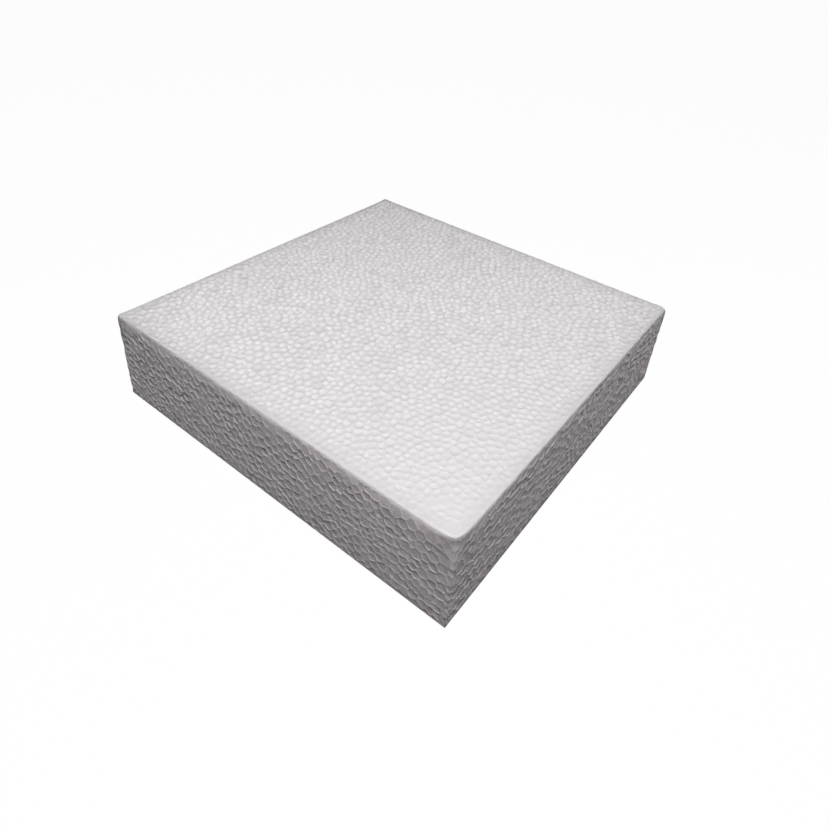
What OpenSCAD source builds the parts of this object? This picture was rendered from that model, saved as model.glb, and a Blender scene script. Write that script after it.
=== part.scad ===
// Rigid white bead foam block, cut square from a larger board.
// Every cut face but the base shows the beads that it passes through:
// each one is a shallow dish, and neighbours meet in a thin raised rim.
// The block rests on its base cut, with the origin at the middle of that base.

/* [Block] */
// Width of the block, left to right
block_w = 200; // [80:5:400]
// Depth of the block, front to back
block_d = 200; // [80:5:400]
// Height of the block as it lies
block_h = 48; // [20:1:120]

/* [Beads] */
// Width of a cut bead, rim to rim (a large block gets larger ones)
bead_w = 5.4; // [4:0.1:12]
// Depth of the dish in a cut bead
dish_depth = 0.5; // [0.1:0.05:1]
// How far the rims stray from even rows, as a share of a bead's width
rim_stray = 0.27; // [0:0.01:0.3]
// Number that the pattern of beads is drawn from
bead_pattern = 11; // [1:1:99]

/* [Wear] */
// How far the edges are rubbed in, at most
edge_wear = 0.5; // [0:0.1:1]
// How far the two right-hand top corners are blunted
corner_wear = 1.6; // [0:0.1:2]

/* [Hidden] */

FOAM_WHITE = [0.93, 0.93, 0.93];

// The most beads that the five dished faces share
MAX_BEADS = 2850;
// The least share of the full wear and of the full dish that any point gets
LEAST_WEAR = 0.2;
LEAST_DISH = 0.6;
// How many rim points from a corner its blunting dies out
CORNER_REACH = 2;

// Even spacing of the rims, before they stray
dished_area = block_w * block_d + 2 * (block_w + block_d) * block_h;
spacing = max(bead_w, sqrt(dished_area / MAX_BEADS));
beads_x = floor(block_w / spacing);
beads_y = floor(block_d / spacing);
// The base cut runs through the middle of the lowest row of beads
beads_z = floor(block_h / spacing + 0.5);
row_h = block_h / (beads_z - 0.5);
beads_round = 2 * (beads_x + beads_y);

// Where a step round the block lies, as [i, j] in the grid of rims seen from above.
// The steps start at the front left corner and go round anticlockwise.
function round_spot(step) =
    let (m = step % beads_round)
    m < beads_x ? [m, 0] :
    m < beads_x + beads_y ? [beads_x, m - beads_x] :
    m < 2 * beads_x + beads_y ? [2 * beads_x + beads_y - m, beads_y] :
    [0, beads_round - m];

// The step round the block at which an outer grid spot lies
function round_step(i, j) =
    j == 0 ? i :
    i == beads_x ? beads_x + j :
    j == beads_y ? 2 * beads_x + beads_y - i :
    beads_round - j;

// The place of a rim point in the list of points: first the rings of the sides,
// from the bottom up, then the whole grid of the top face
rings_count = beads_z * beads_round;
rims_count = rings_count + (beads_x + 1) * (beads_y + 1);
function rim_number(i, j, k) =
    k < beads_z ? k * beads_round + round_step(i, j) : rings_count + j * (beads_x + 1) + i;

// Chance values from 0 to 1, the same on every build: three a rim point, one a bead
sides_count = beads_z * beads_round;
beads_count = sides_count + beads_x * beads_y;
chances = rands(0, 1, 3 * rims_count + beads_count, bead_pattern);
function rim_chance(i, j, k, axis) = chances[3 * rim_number(i, j, k) + axis];
function bead_chance(number) = chances[3 * rims_count + number];

// Which way is inwards from a grid spot on the low or the high face along one axis
function inwards(at, last) = at == 0 ? 1 : at == last ? -1 : 0;

// How far a rim point is worn in: by rubbing along the edges, and by the blunting
// of the two right-hand top corners
function steps_to_corner(i, j, k) = beads_x - i + min(j, beads_y - j) + beads_z - k;
function wear(i, j, k) =
    edge_wear * (LEAST_WEAR + (1 - LEAST_WEAR) * rim_chance(i, j, k, 0))
    + corner_wear * max(0, 1 - steps_to_corner(i, j, k) / CORNER_REACH);

// A rim point: an even grid spot that strays along the faces it lies on. Where faces
// meet in an edge or a corner, it is also worn in.
function rim_point(i, j, k) =
    let (
        even = [
            (i / beads_x - 0.5) * block_w,
            (j / beads_y - 0.5) * block_d,
            block_h - (beads_z - k) * row_h
        ],
        inner = [inwards(i, beads_x), inwards(j, beads_y), k == beads_z ? -1 : 0],
        faces_met = inner * inner,
        worn = faces_met > 1 ? wear(i, j, k) : 0
    )
    [for (axis = [0:2])
        even[axis] + (inner[axis] == 0
            ? rim_stray * spacing * (2 * rim_chance(i, j, k, axis) - 1)
            : inner[axis] * worn)];

// The bottom of a bead's dish: the mean of its four rim points, sunk along inner
function dish_point(rims, inner, number) =
    let (depth = dish_depth * (LEAST_DISH + (1 - LEAST_DISH) * bead_chance(number)))
    (rims[0] + rims[1] + rims[2] + rims[3]) / 4 + depth * inner;

// Grid spots of the four rim points round a bead, anticlockwise from outside
function side_spots(step, k) =
    let (a = round_spot(step), b = round_spot(step + 1))
    [[a.x, a.y, k], [b.x, b.y, k], [b.x, b.y, k + 1], [a.x, a.y, k + 1]];
function top_spots(i, j) =
    [[i, j, beads_z], [i + 1, j, beads_z], [i + 1, j + 1, beads_z], [i, j + 1, beads_z]];

// Every bead: the sides' rows from the bottom up, then the top's rows
bead_spots = concat(
    [for (k = [0:beads_z - 1]) for (step = [0:beads_round - 1]) side_spots(step, k)],
    [for (j = [0:beads_y - 1]) for (i = [0:beads_x - 1]) top_spots(i, j)]
);

// Straight in from the face that a bead lies on, from two sides of its outline
function bead_inner(spots) =
    let (out = cross(spots[1] - spots[0], spots[3] - spots[0]))
    -out / norm(out);

rim_points = concat(
    [for (k = [0:beads_z - 1]) for (step = [0:beads_round - 1])
        let (spot = round_spot(step)) rim_point(spot.x, spot.y, k)],
    [for (j = [0:beads_y]) for (i = [0:beads_x]) rim_point(i, j, beads_z)]
);
dish_points = [for (number = [0:beads_count - 1])
    let (spots = bead_spots[number])
    dish_point([for (s = spots) rim_points[rim_number(s.x, s.y, s.z)]], bead_inner(spots), number)];

// Four triangles slope from each bead's rim down to the bottom of its dish
dish_faces = [for (number = [0:beads_count - 1]) for (side = [0:3])
    let (a = bead_spots[number][side], b = bead_spots[number][(side + 1) % 4])
    [rims_count + number, rim_number(b.x, b.y, b.z), rim_number(a.x, a.y, a.z)]];
under_point = [0, 0, block_h - beads_z * row_h];
under_faces = [for (step = [0:beads_round - 1])
    [rims_count + beads_count, step, (step + 1) % beads_round]];

// The board's beads, with half a row more of them below the base
module beaded_board() {
    polyhedron(
        points = concat(rim_points, dish_points, [under_point]),
        faces = concat(dish_faces, under_faces),
        convexity = 4
    );
}

// All that the flat base cut takes off
module base_cut() {
    translate([-block_w, -block_d, -block_h])
        cube([2 * block_w, 2 * block_d, block_h]);
}

module foam_block() {
    color(FOAM_WHITE)
        difference() {
            beaded_board();
            base_cut();
        }
}

foam_block();
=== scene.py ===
"""Looks of the foam block: a slab of white bead foam whose cut faces show the beads.

The beads are spread over the faces of the block by pushing each other apart. Flat walls
between neighbours cut each face into many-sided outlines, so a bead that an edge passes
through shows on both sides of it. Each cut bead is a shallow dish, and neighbours meet in a
thin raised rim. When the dishes are made, the edges and three top corners are worn."""
import itertools
import math
from collections import namedtuple

import bmesh
import bpy
import numpy as np
from mathutils import Matrix, Vector, noise
from mathutils.kdtree import KDTree


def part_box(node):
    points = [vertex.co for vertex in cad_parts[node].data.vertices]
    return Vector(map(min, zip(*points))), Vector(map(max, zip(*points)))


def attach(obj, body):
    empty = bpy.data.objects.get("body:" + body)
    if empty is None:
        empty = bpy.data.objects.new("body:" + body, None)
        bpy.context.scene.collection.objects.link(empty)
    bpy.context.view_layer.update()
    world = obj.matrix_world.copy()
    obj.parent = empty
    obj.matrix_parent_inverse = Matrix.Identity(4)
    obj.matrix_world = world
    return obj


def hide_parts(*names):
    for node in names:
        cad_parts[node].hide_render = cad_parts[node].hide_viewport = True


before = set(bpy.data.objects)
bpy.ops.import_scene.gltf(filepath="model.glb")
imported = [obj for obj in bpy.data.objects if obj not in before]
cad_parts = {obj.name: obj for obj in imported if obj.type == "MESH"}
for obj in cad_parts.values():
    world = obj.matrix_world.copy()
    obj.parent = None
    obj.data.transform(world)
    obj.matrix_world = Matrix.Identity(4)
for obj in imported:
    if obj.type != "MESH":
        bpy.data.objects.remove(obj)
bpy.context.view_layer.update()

MM = 0.001
LOW, HIGH = (np.array(corner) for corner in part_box("foam_block"))
MIDDLE = (LOW + HIGH) / 2
HALF = (HIGH - LOW) / 2
WIDTH = 2 * float(HALF[0])

# ---------------------------------------------------------------- how the beads are packed

BEAD = 4.1 * MM  # mean width of a cut bead
BEAD_BY_FACE = (1.08, 1.0, 0.9, 1.1)  # shares of it in the faces across x, y, on top, in the base
BEAD_VARIETY = 0.17  # spread of the beads' sizes, as a share of the mean
SMALLEST, LARGEST = 0.7, 1.4  # limits of a bead's size, as shares of the mean
MOST_BEADS = 20000  # more than there ever are
PACKING_SEED = 4
EVENING_ROUNDS = 30  # times that the beads push each other apart
SETTLING_ROUNDS = 14  # the last of them, in which beads near an edge settle on it or off it
ON_EDGE, OFF_EDGE = 0.38, 0.8  # nearer than the first settles on the edge, else off it, in beads
PUSHERS = 8  # beads that push a bead
PUSH_REACH = 1.25  # how near a neighbour pushes, in shares of the two beads' half widths added
PUSH_STEP = 0.45  # how far a push moves a bead, in bead widths
NEIGHBOURS = 32  # beads round a bead that can share a rim with it
SHOWS_WITHIN = 1.5  # beads this near to a face can show in it, in bead widths

# ---------------------------------------------------------------- rims and dishes

SAME_POINT = 0.001 * MM  # points this near are one point
ON_FACE = 0.1 * MM  # points this near to a face lie in it
TOP_EDGE_BAND = 0.5 * MM  # an edge's points this far below the top still are in a top edge
SHORTEST_RIM = 0.25 * MM  # shorter stretches of rim are merged away
LONG_RIM = 2.1 * MM  # longer stretches get a point in the middle
RIM_UNEVENNESS = 0.42 * MM  # how far a rim's end lies below the cut face, at most
MOST_UNEVEN = 1.8  # limit of the relief that this grows with
RIM_SAG = 0.05 * MM  # how much lower the middle of a rim is

RIM_DROP = 0.35 * MM  # how far a bead's rim slopes down
DISH_DROP = 0.16 * MM  # how much deeper the middle of the dish is
SHALLOWEST, DEEPEST = 0.65, 1.35  # limits of both drops, by bead
# the next three by face, across x, y and z (the base takes the last, as the top does)
RIM_SHARE = (0.15, 0.15, 0.22)  # how much of the way to its middle a bead's rim slopes
RELIEF = (1.27, 0.92, 2.1)  # how much of both drops there is
HOLLOW = (1.0, 1.0, 1.3)  # how much more of the second drop
EDGE_RING = 0.12  # how far in the flat ring stands along the block's edges, as a share
ROUNDING = 0.5  # how far the inside of a rim goes towards a circle
WIDEST = 1.04  # limit of how far that moves it outwards, as a share
CRISP_FOOT = math.radians(12)  # where a rim meets its dish more steeply, the line is crisp
WELD = 0.005 * MM  # the points in the middle of a dish become one point

# ---------------------------------------------------------------- wear

WornCorner = namedtuple("WornCorner", "rounder pressed reach height")
# by the way that the corner points: how much rounder it is, how far it is pressed in level
# with the top, how far round it that goes, and how fast it fades downwards against sideways
WORN_CORNERS = {(1, -1, 1): WornCorner(1.8 * MM, 2.4 * MM, 9 * MM, 0.6),
                (1, 1, 1): WornCorner(0.0 * MM, 1.9 * MM, 4 * MM, 1.6),
                (-1, -1, 1): WornCorner(0.0 * MM, 0.8 * MM, 3 * MM, 1.0)}
HELD_CORNER = (1, -1, 1)  # the one that is handled, towards which the sides are darker
CORNER_REACH = 20 * MM  # how far along the edges a worn corner fades out
CORNER_PATCH = 7 * MM  # this near to a worn corner the mesh is twice as fine
CORNER_RELIEF = 0.65  # how deep the dishes at a worn corner are, as a share of the others
CORNER_SPREAD = 1.6  # how soon that share is reached on the way to the corner

EDGE_WEAR = 0.32 * MM  # mean radius that a top edge is worn to
BASE_WEAR = 0.15 * MM  # the same for the edges round the base
SIDE_WEAR = 0.25 * MM  # the same for the upright edges
WEAR_PATCH = 4 * MM  # size of the patches in which an edge is worn more or less
WEAR_SWING = 0.8  # how much more or less, as a share
WEAR_LIMIT = 6 * MM  # nothing further than this from two faces at once is rounded
ROLL = 0.55 * MM  # how far the sides lean in at the top edges
ROLL_REACH = 7 * MM  # how far down the lean begins, and how far it reaches over the top
ROLL_END = 9 * MM  # this near to an upright edge the lean begins to fade out

HANDLED = (0.4, 0.4, 0.85)  # how much shallower the dishes get towards the held corner, by face
HANDLED_END = 0.1  # how far past the middle they still get deeper, of the way to the far corner
EDGE_RELIEF = 0.2  # how deep the dishes under the top edges are, as a share of the others
UNDER_EDGE = 0.7  # how far down those dishes have their middles, at most, in bead widths
TOP_EDGE_RELIEF = 0.6  # how deep the dishes of the top are at its edges
TOP_EDGE_REACH = 12 * MM  # how far from the edges the top is shallower
CONTACT_SHADE_HEIGHT = 5 * MM  # how far up the sides the painted contact shade goes
GLOW_REACH = 7 * MM  # how far from an edge light comes through the foam


# ---------------------------------------------------------------- beads that the cut goes through

def onto_faces(points):
    """The points moved to the nearest spot on the block's faces."""
    inside = np.clip(points, -HALF, HALF)
    room = HALF - np.abs(inside)
    axis = room.argmin(1)
    row = np.arange(len(points))
    inside[row, axis] = np.where(inside[row, axis] < 0, -1, 1) * HALF[axis]
    return inside


def settled(points):
    """The points near an edge of the block, moved onto it or a little further off."""
    room = HALF - np.abs(points)
    axis = room.argsort(1)[:, 1]
    row = np.arange(len(points))
    far = room[row, axis]
    wanted = np.where(far < ON_EDGE * BEAD, 0, np.maximum(far, OFF_EDGE * BEAD))
    moved = points.copy()
    moved[row, axis] = np.where(points[row, axis] < 0, -1, 1) * (HALF[axis] - wanted)
    return moved


def bead_share(normal):
    """Mean width of the beads in a face of the block, as a share of BEAD."""
    if normal[2] < 0:
        return BEAD_BY_FACE[3]
    return float(np.abs(normal) @ BEAD_BY_FACE[:3])


def neighbour_tree(points):
    """A tree of numbered points that finds the nearest ones fast."""
    tree = KDTree(len(points))
    for number, point in enumerate(points):
        tree.insert(point, number)
    tree.balance()
    return tree


def cut_bead_middles():
    """Middles and half widths of the beads, spread over the faces like beads packed tight."""
    chance = np.random.default_rng(PACKING_SEED)
    middles = []
    for outline, normal in block_faces():
        spans = np.ptp(outline, axis=0)
        area = np.prod(spans[normal == 0])
        count = int(area / (bead_share(normal) * BEAD) ** 2)
        middles.append(outline.min(0) + chance.random((count, 3)) * spans)
    shares = np.repeat([bead_share(normal) for _, normal in block_faces()],
                       [len(some) for some in middles])
    middles = np.concatenate(middles)
    sizes = np.clip(chance.normal(1, BEAD_VARIETY, len(middles)), SMALLEST, LARGEST)
    halves = sizes * shares * BEAD / 2
    for turn in range(EVENING_ROUNDS):
        tree = neighbour_tree(middles)
        found = [tree.find_n(point, PUSHERS + 1)[1:] for point in middles]
        others = np.array([[i for _, i, _ in row] for row in found])
        away = middles[:, None] - middles[others]
        apart = np.linalg.norm(away, axis=2) + 1e-9
        wanted = PUSH_REACH * (halves[:, None] + halves[others])
        force = np.clip(1 - apart / wanted, 0, None) / apart
        middles = onto_faces(middles + PUSH_STEP * BEAD * (away * force[..., None]).sum(1))
        if turn >= EVENING_ROUNDS - SETTLING_ROUNDS:
            middles = settled(middles)
    return middles, halves


def clipped(outline, normal, distance):
    """What is left of a flat outline on the inner side of a plane."""
    beyond = outline @ normal - distance
    if (beyond <= 0).all():
        return outline
    kept = []
    for a, b, out_a, out_b in zip(outline, np.roll(outline, -1, 0), beyond, np.roll(beyond, -1)):
        if out_a <= 0:
            kept.append(a)
        if (out_a <= 0) != (out_b <= 0):
            kept.append(a + (b - a) * (out_a / (out_a - out_b)))
    return np.array(kept).reshape(-1, 3)


def block_faces():
    """Each face of the block, as (outline, outward normal)."""
    for axis, way in itertools.product(range(3), (-1, 1)):
        across, up = (axis + 1) % 3, (axis + 2) % 3
        outline = np.empty((4, 3))
        outline[:, axis] = way * HALF[axis]
        outline[:, across] = np.array((-1, 1, 1, -1)) * HALF[across]
        outline[:, up] = np.array((-1, -1, 1, 1)) * HALF[up]
        normal = np.zeros(3)
        normal[axis] = way
        yield outline, normal


def cut_beads():
    """Every cut bead on the block's faces, as (outline, bead number, outward normal)."""
    middles, halves = cut_bead_middles()
    tree = neighbour_tree(middles)
    near = {}

    def walls(number):
        """The flat walls between a bead and its neighbours, nearest neighbour first."""
        if number not in near:
            found = tree.find_n(middles[number], NEIGHBOURS + 1)[1:]
            others = np.array([i for _, i, _ in found])
            towards = middles[others] - middles[number]
            apart = np.linalg.norm(towards, axis=1)
            normals = towards / apart[:, None]
            share = (apart**2 + halves[number]**2 - halves[others]**2) / (2 * apart)
            near[number] = list(zip(normals, normals @ middles[number] + share, apart))
        return near[number]

    for whole, normal in block_faces():
        depth = middles @ normal - whole[0] @ normal
        for number in np.flatnonzero(depth > -SHOWS_WITHIN * BEAD):
            outline = whole
            for wall_normal, wall_distance, apart in walls(number):
                outline = clipped(outline, wall_normal, wall_distance)
                if len(outline) < 3:
                    break
                reach = np.linalg.norm(outline - middles[number], axis=1).max()
                # neighbours further off than this are too far to cut the outline
                if apart > 2 * reach + BEAD / 2:
                    break
            if len(outline) >= 3:
                yield outline, int(number), normal


def corner_nearness(points):
    """1 at a worn corner, falling to 0 at the end of its reach."""
    near = 0
    for way in WORN_CORNERS:
        far = np.linalg.norm(points - np.array(way) * HALF, axis=-1)
        near = np.maximum(near, 1 - far / CORNER_REACH)
    return near


def edge_nearness(points, reach):
    """1 on the block's edges, falling to 0 at a distance from them."""
    room = np.sort(HALF - np.abs(points), axis=-1)[..., 1]
    return np.clip(1 - room / reach, 0, 1)


def relief(middle, normal):
    """How deep the dish of a cut bead is: less where the block is worn."""
    deep = float(np.abs(normal) @ RELIEF)
    if normal[2] == 0 and HALF[2] - middle[2] < UNDER_EDGE * BEAD:
        deep *= EDGE_RELIEF
    if normal[2] > 0:
        near = float(edge_nearness(middle, TOP_EDGE_REACH))
        deep *= 1 + (TOP_EDGE_RELIEF - 1) * near
    # -1 at the held corner, 1 at the far one
    across = (middle[1] / HALF[1] - middle[0] / HALF[0]) / 2
    deep *= 1 + float(np.abs(normal) @ HANDLED) * min(across, HANDLED_END)
    cornered = min(1.0, CORNER_SPREAD * corner_nearness(middle))
    return float(deep * (1 + (CORNER_RELIEF - 1) * cornered))


def surface_of_cut_beads():
    """One closed mesh, the sharp block, with a many-sided face for every cut bead."""
    shell = bmesh.new()
    bead_layer = shell.faces.layers.float.new("bead")
    relief_layer = shell.faces.layers.float.new("relief")
    rim_layer = shell.faces.layers.float.new("rim share")
    hollow_layer = shell.faces.layers.float.new("hollow")
    base_layer = shell.faces.layers.float.new("base")
    top_layer = shell.faces.layers.float.new("top")
    crest_layer = shell.verts.layers.float.new("crest")
    edge_layer = shell.verts.layers.float.new("block edge")
    chance = np.random.default_rng(PACKING_SEED + 1)
    kinds = chance.random(MOST_BEADS)
    for outline, number, normal in cut_beads():
        face = shell.faces.new([shell.verts.new(point) for point in outline])
        face[bead_layer] = kinds[number]
        face[relief_layer] = relief(outline.mean(0), normal)
        face[rim_layer] = float(np.abs(normal) @ RIM_SHARE)
        face[hollow_layer] = float(np.abs(normal) @ HOLLOW)
        face[base_layer] = float(normal[2] < -0.5)
        face[top_layer] = float(normal[2] > 0.5)
    bmesh.ops.remove_doubles(shell, verts=shell.verts, dist=SAME_POINT)
    bmesh.ops.remove_doubles(shell, verts=shell.verts, dist=SHORTEST_RIM)
    bmesh.ops.recalc_face_normals(shell, faces=shell.faces)
    in_rims = set()
    for edge in list(shell.edges):
        if edge.calc_length() > LONG_RIM and any(f[base_layer] < 0.5 for f in edge.link_faces):
            in_rims.add(bmesh.utils.edge_split(edge, edge.verts[0], 0.5)[1])
    for vert in shell.verts:
        point = np.array(vert.co)
        room = HALF - np.abs(point)
        uneven = RIM_UNEVENNESS * min(MOST_UNEVEN, *(f[relief_layer] for f in vert.link_faces))
        lower = uneven * chance.random() ** 2 + RIM_SAG * (vert in in_rims)
        if point[2] > -HALF[2] + ON_FACE:
            point -= np.where(room < ON_FACE, np.sign(point) * lower, 0)
        vert.co = MIDDLE + point
        vert[crest_layer] = 1
        vert[edge_layer] = point[2] > HALF[2] - TOP_EDGE_BAND and np.sort(room)[1] < ON_FACE
    mesh = bpy.data.meshes.new("foam_block_beads")
    shell.to_mesh(mesh)
    shell.free()
    return mesh


# ---------------------------------------------------------------- wear of edges and corners

def wear_radius(point):
    """The radius that the nearest edge or corner is worn to."""
    if HALF[2] - point[2] < BEAD:
        radius = EDGE_WEAR
    elif HALF[2] + point[2] < BEAD:
        radius = BASE_WEAR
    else:
        radius = SIDE_WEAR
    radius *= 1 + WEAR_SWING * noise.noise(Vector(point) / WEAR_PATCH)
    for way, corner in WORN_CORNERS.items():
        far = np.linalg.norm(point - np.array(way) * HALF) / CORNER_REACH
        radius += corner.rounder * max(0, 1 - far) ** 2
    return radius


def refine_worn_corners(mesh):
    """Makes the mesh twice as fine next to the worn corners."""
    finer = bmesh.new()
    finer.from_mesh(mesh)
    close = [corner_nearness(np.array(v.co) - MIDDLE) > 1 - CORNER_PATCH / CORNER_REACH
             for v in finer.verts]
    finer.verts.index_update()
    there = [e for e in finer.edges if close[e.verts[0].index] and close[e.verts[1].index]]
    bmesh.ops.subdivide_edges(finer, edges=there, cuts=1, use_grid_fill=True)
    finer.to_mesh(mesh)
    finer.free()


def round_edges(spots):
    """Moves the points near the edges onto the radius that the edge is worn to."""
    for number in np.flatnonzero(np.sort(HALF - np.abs(spots), axis=1)[:, 1] < WEAR_LIMIT):
        point = spots[number]
        radius = wear_radius(point)
        core = np.clip(point, -(HALF - radius), HALF - radius)
        out = point - core
        if np.count_nonzero(out) > 1:
            spots[number] = core + out * (np.abs(out).max() / np.linalg.norm(out))


def press_corners(spots):
    """Presses the worn corners in, level with the top."""
    for way, corner in WORN_CORNERS.items():
        away = (spots - np.array(way) * HALF) * (1, 1, corner.height)
        near = np.clip(1 - np.linalg.norm(away, axis=1) / corner.reach, 0, 1)
        push = corner.pressed * near ** 2
        spots[:, :2] -= push[:, None] * np.array(way[:2]) / math.sqrt(2)


def lean_sides(spots):
    """Leans the sides in at the top edges, and less near the upright edges."""
    room = HALF - np.abs(spots)
    near = np.clip(1 - room / ROLL_REACH, 0, 1)
    from_upright = np.clip(room / ROLL_END, 0, 1)[:, [1, 0]]
    lean = ROLL * near[:, 2:] ** 2 * near[:, :2] * from_upright * (spots[:, 2:] > 0)
    spots[:, :2] -= np.sign(spots[:, :2]) * lean


def mark(mesh, name, values):
    """Gives the mesh's points an attribute that the foam's material reads."""
    mesh.attributes.new(name, "FLOAT", "POINT").data.foreach_set("value", values)


def wear(mesh):
    """Wears the edges and corners of the finished block, and marks where it shows."""
    refine_worn_corners(mesh)
    spots = np.empty(len(mesh.vertices) * 3)
    mesh.vertices.foreach_get("co", spots)
    spots = spots.reshape(-1, 3) - MIDDLE
    round_edges(spots)
    press_corners(spots)
    lean_sides(spots)
    spots = np.clip(spots, -HALF, HALF)
    mesh.vertices.foreach_set("co", (spots + MIDDLE).ravel())
    # how near the foot a point is, for the painted contact shade
    mark(mesh, "low", np.clip(1 - (spots[:, 2] + HALF[2]) / CONTACT_SHADE_HEIGHT, 0, 1))
    upper = np.clip(spots[:, 2] / HALF[2], 0, 1)
    mark(mesh, "glow", edge_nearness(spots, GLOW_REACH) * upper)
    # how near the held corner a point is, for the darker tone of the sides there
    far = np.linalg.norm(spots - np.array(HELD_CORNER) * HALF, axis=1)
    mark(mesh, "worn", np.clip(1 - far / CORNER_REACH, 0, 1))
    mesh.update()


# ---------------------------------------------------------------- nodes

def node_kit(tree):
    """Short ways to add nodes to a tree, to feed their sockets and to reckon with them."""
    def node(kind, **settings):
        got = tree.nodes.new(kind)
        for name, value in settings.items():
            setattr(got, name, value)
        return got

    def feed(socket, value):
        if isinstance(value, bpy.types.NodeSocket):
            tree.links.new(value, socket)
        else:
            socket.default_value = value

    def maths(operation, *values):
        got = node("ShaderNodeMath", operation=operation)
        for socket, value in zip(got.inputs, values):
            feed(socket, value)
        return got.outputs[0]

    return node, feed, maths


# ---------------------------------------------------------------- dishes, in Geometry Nodes

def dish_tree(foam):
    """Sinks every cut bead into a shallow round dish inside a thin rim."""
    tree = bpy.data.node_groups.new("dished beads", "GeometryNodeTree")
    face = tree.interface
    face.new_socket("Geometry", in_out="INPUT", socket_type="NodeSocketGeometry")
    for name in ("Rim drop", "Dish drop", "Rounding", "Edge ring", "Crisp foot"):
        face.new_socket(name, in_out="INPUT", socket_type="NodeSocketFloat")
    face.new_socket("Geometry", in_out="OUTPUT", socket_type="NodeSocketGeometry")
    link = tree.links.new
    node, feed, maths = node_kit(tree)
    start, end = node("NodeGroupInput"), node("NodeGroupOutput")

    def vector_maths(operation, *values):
        got = node("ShaderNodeVectorMath", operation=operation)
        for socket, value in zip(got.inputs, values):
            feed(socket, value)
        return got.outputs["Value" if operation == "LENGTH" else "Vector"]

    def attribute(name):
        got = node("GeometryNodeInputNamedAttribute", data_type="FLOAT")
        got.inputs["Name"].default_value = name
        return got.outputs["Attribute"]

    # how deep this bead is cut, as a share of both drops
    depth = maths("MULTIPLY_ADD", attribute("bead"), DEEPEST - SHALLOWEST, SHALLOWEST)
    depth = maths("MULTIPLY", depth, attribute("relief"))

    # where each cut bead's middle is, and how far it reaches from there
    before = node("GeometryNodeCaptureAttribute", domain="POINT")
    before.capture_items.new("VECTOR", "spot")
    link(start.outputs["Geometry"], before.inputs["Geometry"])
    link(node("GeometryNodeInputPosition").outputs[0], before.inputs["spot"])
    keep = node("GeometryNodeCaptureAttribute", domain="FACE")
    keep.capture_items.new("VECTOR", "middle")
    keep.capture_items.new("FLOAT", "reach")
    link(before.outputs["Geometry"], keep.inputs["Geometry"])
    link(node("GeometryNodeInputPosition").outputs[0], keep.inputs["middle"])
    area = node("GeometryNodeInputMeshFaceArea").outputs[0]
    link(maths("SQRT", maths("DIVIDE", area, math.pi)), keep.inputs["reach"])

    base = maths("GREATER_THAN", attribute("base"), 0.5)

    def sunk(geometry, selection, drop, scale):
        """The selected faces pushed in and made smaller, and which faces they are then."""
        push = node("GeometryNodeExtrudeMesh", mode="FACES")
        push.inputs["Individual"].default_value = True
        link(geometry, push.inputs["Mesh"])
        link(selection, push.inputs["Selection"])
        link(maths("MULTIPLY", maths("MULTIPLY", drop, depth), -1), push.inputs["Offset Scale"])
        shrink = node("GeometryNodeScaleElements")
        link(push.outputs["Mesh"], shrink.inputs["Geometry"])
        link(push.outputs["Top"], shrink.inputs["Selection"])
        feed(shrink.inputs["Scale"], scale)
        return shrink.outputs["Geometry"], push.outputs["Top"]

    # the rims slope in from the cut faces, but not in the base, whose beads only have a dish
    inner_share = maths("SUBTRACT", 1, attribute("rim share"))
    rimmed = maths("SUBTRACT", 1, base)
    geometry, top = sunk(keep.outputs["Geometry"], rimmed, start.outputs["Rim drop"], inner_share)

    # the inside of the rim is drawn towards a circle, but never outwards past the rim
    from_middle = vector_maths("SUBTRACT", node("GeometryNodeInputPosition").outputs[0],
                               keep.outputs["middle"])
    circle = maths("MULTIPLY", keep.outputs["reach"], inner_share)
    ratio = maths("DIVIDE", circle, maths("MAXIMUM", vector_maths("LENGTH", from_middle), 1e-6))
    change = maths("MULTIPLY", maths("SUBTRACT", ratio, 1), start.outputs["Rounding"])
    factor = maths("MINIMUM", maths("ADD", change, 1), WIDEST)
    moved = vector_maths("SCALE", from_middle)
    link(factor, moved.node.inputs["Scale"])
    round_off = node("GeometryNodeSetPosition")
    link(geometry, round_off.inputs["Geometry"])
    link(top, round_off.inputs["Selection"])
    link(vector_maths("ADD", keep.outputs["middle"], moved), round_off.inputs["Position"])

    # along the block's own edges the ring lies flat, a little way in
    at_edge = maths("GREATER_THAN", attribute("block edge"), 0.5)
    edge_on = node("GeometryNodeSetPosition")
    link(round_off.outputs["Geometry"], edge_on.inputs["Geometry"])
    link(maths("MULTIPLY", at_edge, top), edge_on.inputs["Selection"])
    inwards = vector_maths("SUBTRACT", keep.outputs["middle"], before.outputs["spot"])
    inwards = vector_maths("SCALE", inwards)
    link(start.outputs["Edge ring"], inwards.node.inputs["Scale"])
    flat = vector_maths("ADD", before.outputs["spot"], inwards)
    link(flat, edge_on.inputs["Position"])
    inner = node("GeometryNodeStoreNamedAttribute", data_type="FLOAT", domain="POINT")
    link(edge_on.outputs["Geometry"], inner.inputs["Geometry"])
    link(top, inner.inputs["Selection"])
    inner.inputs["Name"].default_value = "crest"
    inner.inputs["Value"].default_value = 0

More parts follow.
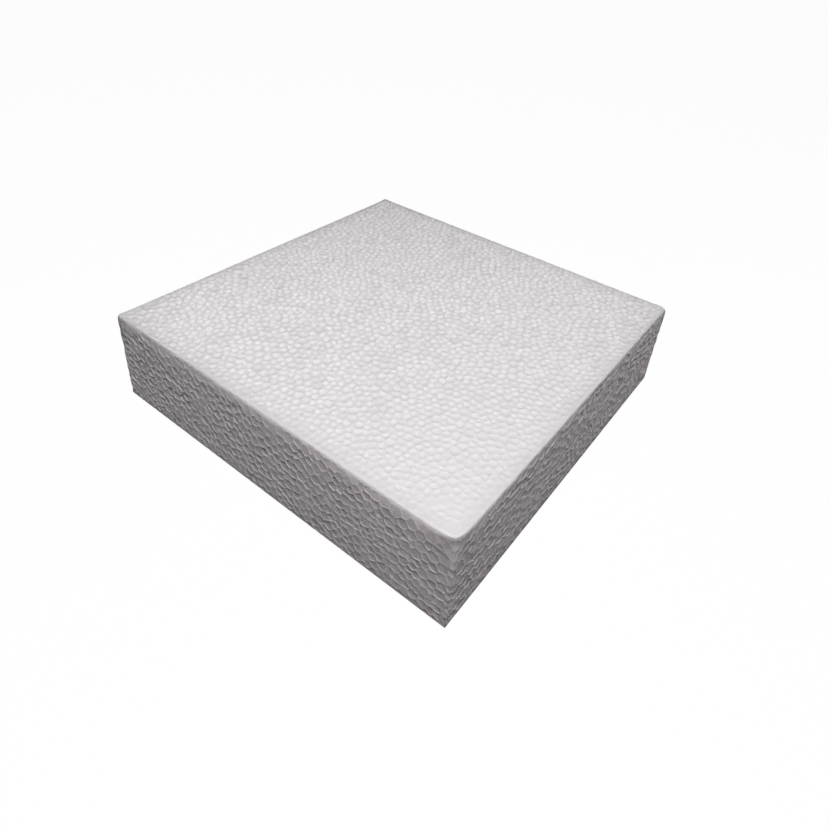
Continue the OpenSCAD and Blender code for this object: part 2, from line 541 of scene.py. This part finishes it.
    # the dish goes down from the rim to one point in the middle
    inside = maths("MAXIMUM", top, base)
    hollow = maths("MULTIPLY", start.outputs["Dish drop"], attribute("hollow"))
    geometry, top = sunk(inner.outputs["Geometry"], inside, hollow, 0)
    deepest = node("GeometryNodeStoreNamedAttribute", data_type="FLOAT", domain="POINT")
    link(geometry, deepest.inputs["Geometry"])
    link(top, deepest.inputs["Selection"])
    deepest.inputs["Name"].default_value = "crest"
    deepest.inputs["Value"].default_value = 0
    merge = node("GeometryNodeMergeByDistance")
    link(deepest.outputs["Geometry"], merge.inputs["Geometry"])
    merge.inputs["Distance"].default_value = WELD
    smooth = node("GeometryNodeSetShadeSmooth")
    link(merge.outputs["Geometry"], smooth.inputs["Geometry"])
    angle = node("GeometryNodeInputMeshEdgeAngle").outputs["Unsigned Angle"]
    crisp = node("GeometryNodeSetShadeSmooth", domain="EDGE")
    link(smooth.outputs["Geometry"], crisp.inputs["Geometry"])
    # the foot of a rim is crisp on the sides, and soft on the top
    steep = maths("GREATER_THAN", angle, start.outputs["Crisp foot"])
    foot = maths("LESS_THAN", attribute("crest"), 0.25)
    narrow = maths("LESS_THAN", attribute("top"), 0.25)
    link(maths("MULTIPLY", steep, maths("MULTIPLY", foot, narrow)), crisp.inputs["Selection"])
    crisp.inputs["Shade Smooth"].default_value = False
    real = node("GeometryNodeRealizeInstances")
    link(crisp.outputs["Geometry"], real.inputs["Geometry"])
    finish = node("GeometryNodeSetMaterial")
    finish.inputs["Material"].default_value = foam
    link(real.outputs["Geometry"], finish.inputs["Geometry"])
    link(finish.outputs["Geometry"], end.inputs["Geometry"])
    return tree


def set_input(modifier, name, value):
    """Sets one of the tree's named inputs on its modifier."""
    for item in modifier.node_group.interface.items_tree:
        if item.item_type == "SOCKET" and item.in_out == "INPUT" and item.name == name:
            modifier[item.identifier] = value


def dished_block(foam):
    """The finished block, as one object with a plain mesh."""
    raw = bpy.data.objects.new("foam_block_raw", surface_of_cut_beads())
    bpy.context.scene.collection.objects.link(raw)
    modifier = raw.modifiers.new("dishes", "NODES")
    modifier.node_group = dish_tree(foam)
    set_input(modifier, "Rim drop", RIM_DROP)
    set_input(modifier, "Dish drop", DISH_DROP)
    set_input(modifier, "Rounding", ROUNDING)
    set_input(modifier, "Edge ring", EDGE_RING)
    set_input(modifier, "Crisp foot", CRISP_FOOT)
    shaped = raw.evaluated_get(bpy.context.evaluated_depsgraph_get())
    mesh = bpy.data.meshes.new_from_object(shaped)
    bpy.data.objects.remove(raw)
    wear(mesh)
    piece = bpy.data.objects.new("foam_block_cut_beads", mesh)
    bpy.context.scene.collection.objects.link(piece)
    return piece


# ---------------------------------------------------------------- materials

FOAM_COLOUR = (0.80, 0.771, 0.777)
FOAM_SHADE = (0.70, 0.67, 0.678)  # in the deeper, thinner-skinned beads, and as painted shade along the top's edges
FOAM_CREST_AND_HIGHLIGHT = (0.90, 0.87, 0.875)  # on the rims, where two skins lie together, and a painted highlight where they catch the light
SHADED_SIDE_TINT = (1.0, 0.968, 0.978)  # painted shade tint: the shaded sides are a little warmer than the lit top
FOAM_EDGE = (0.99, 0.96, 0.96)  # along the top edges, where light comes through
FOAM_CONTACT_SHADE = (0.44, 0.415, 0.42)  # painted contact shade along the foot of the sides
FOAM_CORNER_DARK = (0.42, 0.40, 0.405)  # darker, on the sides towards the held corner
BLOTCH = 14 * MM  # size of the slow changes of tone
MOTTLE = 0.9 * MM  # size of the fine ones
CELL = 0.22 * MM  # width of the cells that a cut skin shows
CELL_DEPTH = 0.18 * MM  # how deep they look
SCATTER = 10 * MM  # how far light travels in the foam


def foam_material():
    """White bead foam: each bead its own faint tone, paler waxy rims with a painted highlight,
    finely pitted skin.
    """
    material = bpy.data.materials.new("white bead foam")
    material.use_nodes = True
    node, feed, maths = node_kit(material.node_tree)
    shader = material.node_tree.nodes["Principled BSDF"]
    place = node("ShaderNodeTexCoord").outputs["Object"]

    def noise_at(size, detail):
        got = node("ShaderNodeTexNoise")
        feed(got.inputs["Vector"], place)
        feed(got.inputs["Scale"], 1 / size)
        feed(got.inputs["Detail"], detail)
        return got.outputs["Fac"]

    def attribute(name):
        return node("ShaderNodeAttribute", attribute_name=name).outputs["Fac"]

    def mixed(factor, a, b):
        got = node("ShaderNodeMix", data_type="RGBA")
        for socket, value in zip((got.inputs[0], got.inputs[6], got.inputs[7]), (factor, a, b)):
            feed(socket, value)
        return got.outputs[2]

    bead = attribute("bead")
    crest = attribute("crest")
    side = maths("SUBTRACT", 1, attribute("top"))
    blotch = noise_at(BLOTCH, 2.0)
    mottle = noise_at(MOTTLE, 3.0)

    # tone: bead by bead, with a slow blotch over many beads and a fine mottle inside each
    by_bead = maths("MULTIPLY_ADD", side, 0.15, 0.15)
    shade = maths("ADD", maths("MULTIPLY", bead, by_bead), maths("MULTIPLY", blotch, 0.25))
    shade = maths("ADD", shade, maths("MULTIPLY", mottle, 0.35))
    shade = maths("SUBTRACT", shade, 0.15)
    tone = mixed(shade, (*FOAM_COLOUR, 1), (*FOAM_SHADE, 1))
    # the rims are paler skin, and carry a painted highlight
    pale = maths("MULTIPLY", maths("POWER", crest, 1.8), 0.6)
    tone = mixed(pale, tone, (*FOAM_CREST_AND_HIGHLIGHT, 1))

    # the top edges: painted light on the sides, where light comes through, and painted shade on
    # the top, where the edges round off
    through = maths("MULTIPLY", attribute("glow"), maths("SUBTRACT", 0.85, attribute("top")))
    tone = mixed(maths("MAXIMUM", through, 0), tone, (*FOAM_EDGE, 1))
    # painted shade along the top's edges
    top_edge_shade = maths("MULTIPLY", attribute("glow"), maths("MULTIPLY", attribute("top"), 0.6))
    tone = mixed(top_edge_shade, tone, (*FOAM_SHADE, 1))

    # painted contact shade along the foot of the sides, and the sides darker towards the held
    # corner
    contact_shade = maths("MULTIPLY", maths("POWER", attribute("low"), 2), 0.9)
    tone = mixed(contact_shade, tone, (*FOAM_CONTACT_SHADE, 1))
    # the sides darker towards the held corner
    corner_dark = maths("MULTIPLY", maths("POWER", attribute("worn"), 2.5), 1.5)
    corner_dark = maths("MULTIPLY", maths("MINIMUM", corner_dark, 1), side)
    tone = mixed(corner_dark, tone, (*FOAM_CORNER_DARK, 1))
    # painted shade tint over the sides
    side_shade_tint = node("ShaderNodeMix", data_type="RGBA", blend_type="MULTIPLY")
    for socket, value in zip((side_shade_tint.inputs[0], side_shade_tint.inputs[6], side_shade_tint.inputs[7]),
                             (side, tone, (*SHADED_SIDE_TINT, 1))):
        feed(socket, value)
    feed(shader.inputs["Base Color"], side_shade_tint.outputs[2])

    # the rims and the top are smoother than the dishes, and each bead differs
    rough = maths("ADD", maths("MULTIPLY", mottle, 0.2), maths("MULTIPLY", bead, 0.12))
    rough = maths("SUBTRACT", maths("ADD", rough, 0.5), maths("MULTIPLY", crest, 0.25))
    rough = maths("SUBTRACT", rough, maths("MULTIPLY", attribute("top"), 0.25))
    feed(shader.inputs["Roughness"], rough)
    shader.inputs["IOR"].default_value = 1.5
    shader.inputs["Specular IOR Level"].default_value = 0.5

    # light comes through near the edges, but less where the sides are darker towards the held
    # corner
    glow = maths("MULTIPLY", attribute("glow"), maths("MULTIPLY_ADD", side, 0.7, 0.3))
    glow = maths("MULTIPLY", glow, maths("SUBTRACT", 1, corner_dark))
    feed(shader.inputs["Subsurface Weight"], maths("MULTIPLY_ADD", glow, 0.9, 0.06))
    shader.inputs["Subsurface Radius"].default_value = (1.0, 1.0, 1.0)
    shader.inputs["Subsurface Scale"].default_value = SCATTER

    # the cut skin of a bead shows its own tiny cells
    cells = node("ShaderNodeTexVoronoi")
    feed(cells.inputs["Vector"], place)
    feed(cells.inputs["Scale"], 1 / CELL)
    height = maths("ADD", maths("MULTIPLY", cells.outputs["Distance"], 0.5), mottle)
    bump = node("ShaderNodeBump")
    feed(bump.inputs["Height"], height)
    feed(bump.inputs["Strength"], 0.8)
    feed(bump.inputs["Distance"], CELL_DEPTH)
    feed(shader.inputs["Normal"], bump.outputs["Normal"])
    return material


# ---------------------------------------------------------------- studio

CAMERA_SPOT = (0.83035, -1.14015, 1.15925)  # in widths of the block, from the middle of its base
CAMERA_HEADING = math.radians(34.954)
CAMERA_DOWN = math.radians(32.279)
CAMERA_ROLL = math.radians(4.817)
CAMERA_LENS = 28.624
CAMERA_SHIFT = (-0.0076, -0.1344)
FLOOR_SIZE = 20
FLOOR_TONE = 0.03  # how much light it sends back at the block
FLOOR_WHITE = 0.97  # what the floor shows besides the light on it
ROOM_LIGHT = 0.012
# place in metres, width in metres and watts; all are aimed at the middle of the base
LAMPS = {"overhead softbox": ((0.169, -0.245, 0.62), 0.2, 3.93),
         "low window": ((0.35, 0.3, 0.28), 0.3, 0.29)}


def floor_material():
    """Pale floor that takes a soft shadow, and shows as white."""
    material = bpy.data.materials.new("pale floor")
    material.use_nodes = True
    node, feed, maths = node_kit(material.node_tree)
    material.node_tree.nodes.clear()
    matt = node("ShaderNodeBsdfDiffuse")
    matt.inputs["Color"].default_value = (*[FLOOR_TONE] * 3, 1)
    white = node("ShaderNodeEmission")
    white.inputs["Strength"].default_value = FLOOR_WHITE
    seen_floor = node("ShaderNodeAddShader")
    feed(seen_floor.inputs[0], matt.outputs[0])
    feed(seen_floor.inputs[1], white.outputs[0])
    path = node("ShaderNodeLightPath").outputs
    seen = maths("ADD", path["Is Camera Ray"], path["Is Glossy Ray"])
    seen = maths("MINIMUM", maths("ADD", seen, path["Is Transmission Ray"]), 1.0)
    mix = node("ShaderNodeMixShader")
    for socket, value in zip(mix.inputs, (seen, matt.outputs[0], seen_floor.outputs[0])):
        feed(socket, value)
    feed(node("ShaderNodeOutputMaterial").inputs["Surface"], mix.outputs[0])
    return material


def camera():
    """The camera, looking down on the front corner."""
    lens = bpy.data.cameras.new("camera")
    lens.sensor_width = 36
    lens.lens = CAMERA_LENS
    lens.shift_x, lens.shift_y = CAMERA_SHIFT
    lens.clip_start, lens.clip_end = 0.01, 100
    seat = bpy.data.objects.new("camera", lens)
    bpy.context.scene.collection.objects.link(seat)
    turn = (Matrix.Rotation(CAMERA_HEADING, 4, "Z")
            @ Matrix.Rotation(math.pi / 2 - CAMERA_DOWN, 4, "X")
            @ Matrix.Rotation(CAMERA_ROLL, 4, "Z"))
    base = Vector((MIDDLE[0], MIDDLE[1], LOW[2]))
    seat.matrix_world = Matrix.Translation(base + Vector(CAMERA_SPOT) * WIDTH) @ turn
    bpy.context.scene.camera = seat


def lamp(name, spot, width, watts):
    """A round soft lamp, aimed at the middle of the base."""
    light = bpy.data.lights.new(name, "AREA")
    light.shape = "DISK"
    light.size = width
    light.energy = watts
    seat = bpy.data.objects.new(name, light)
    bpy.context.scene.collection.objects.link(seat)
    seat.location = spot
    seat.rotation_euler = (-Vector(spot)).to_track_quat("-Z", "Y").to_euler()


def studio():
    """A pale floor, the lamps and a faint even room light."""
    bpy.ops.mesh.primitive_plane_add(size=FLOOR_SIZE, location=(0, 0, float(LOW[2])))
    floor = bpy.context.object
    floor.name = "floor"
    floor.data.materials.append(floor_material())
    for name, (spot, width, watts) in LAMPS.items():
        lamp(name, spot, width, watts)
    world = bpy.data.worlds.new("room")
    world.use_nodes = True
    world.node_tree.nodes["Background"].inputs["Color"].default_value = (1, 1, 1, 1)
    world.node_tree.nodes["Background"].inputs["Strength"].default_value = ROOM_LIGHT
    bpy.context.scene.world = world
    bpy.context.scene.view_settings.view_transform = "Standard"


piece = dished_block(foam_material())
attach(piece, "root")
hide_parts("foam_block")
camera()
studio()
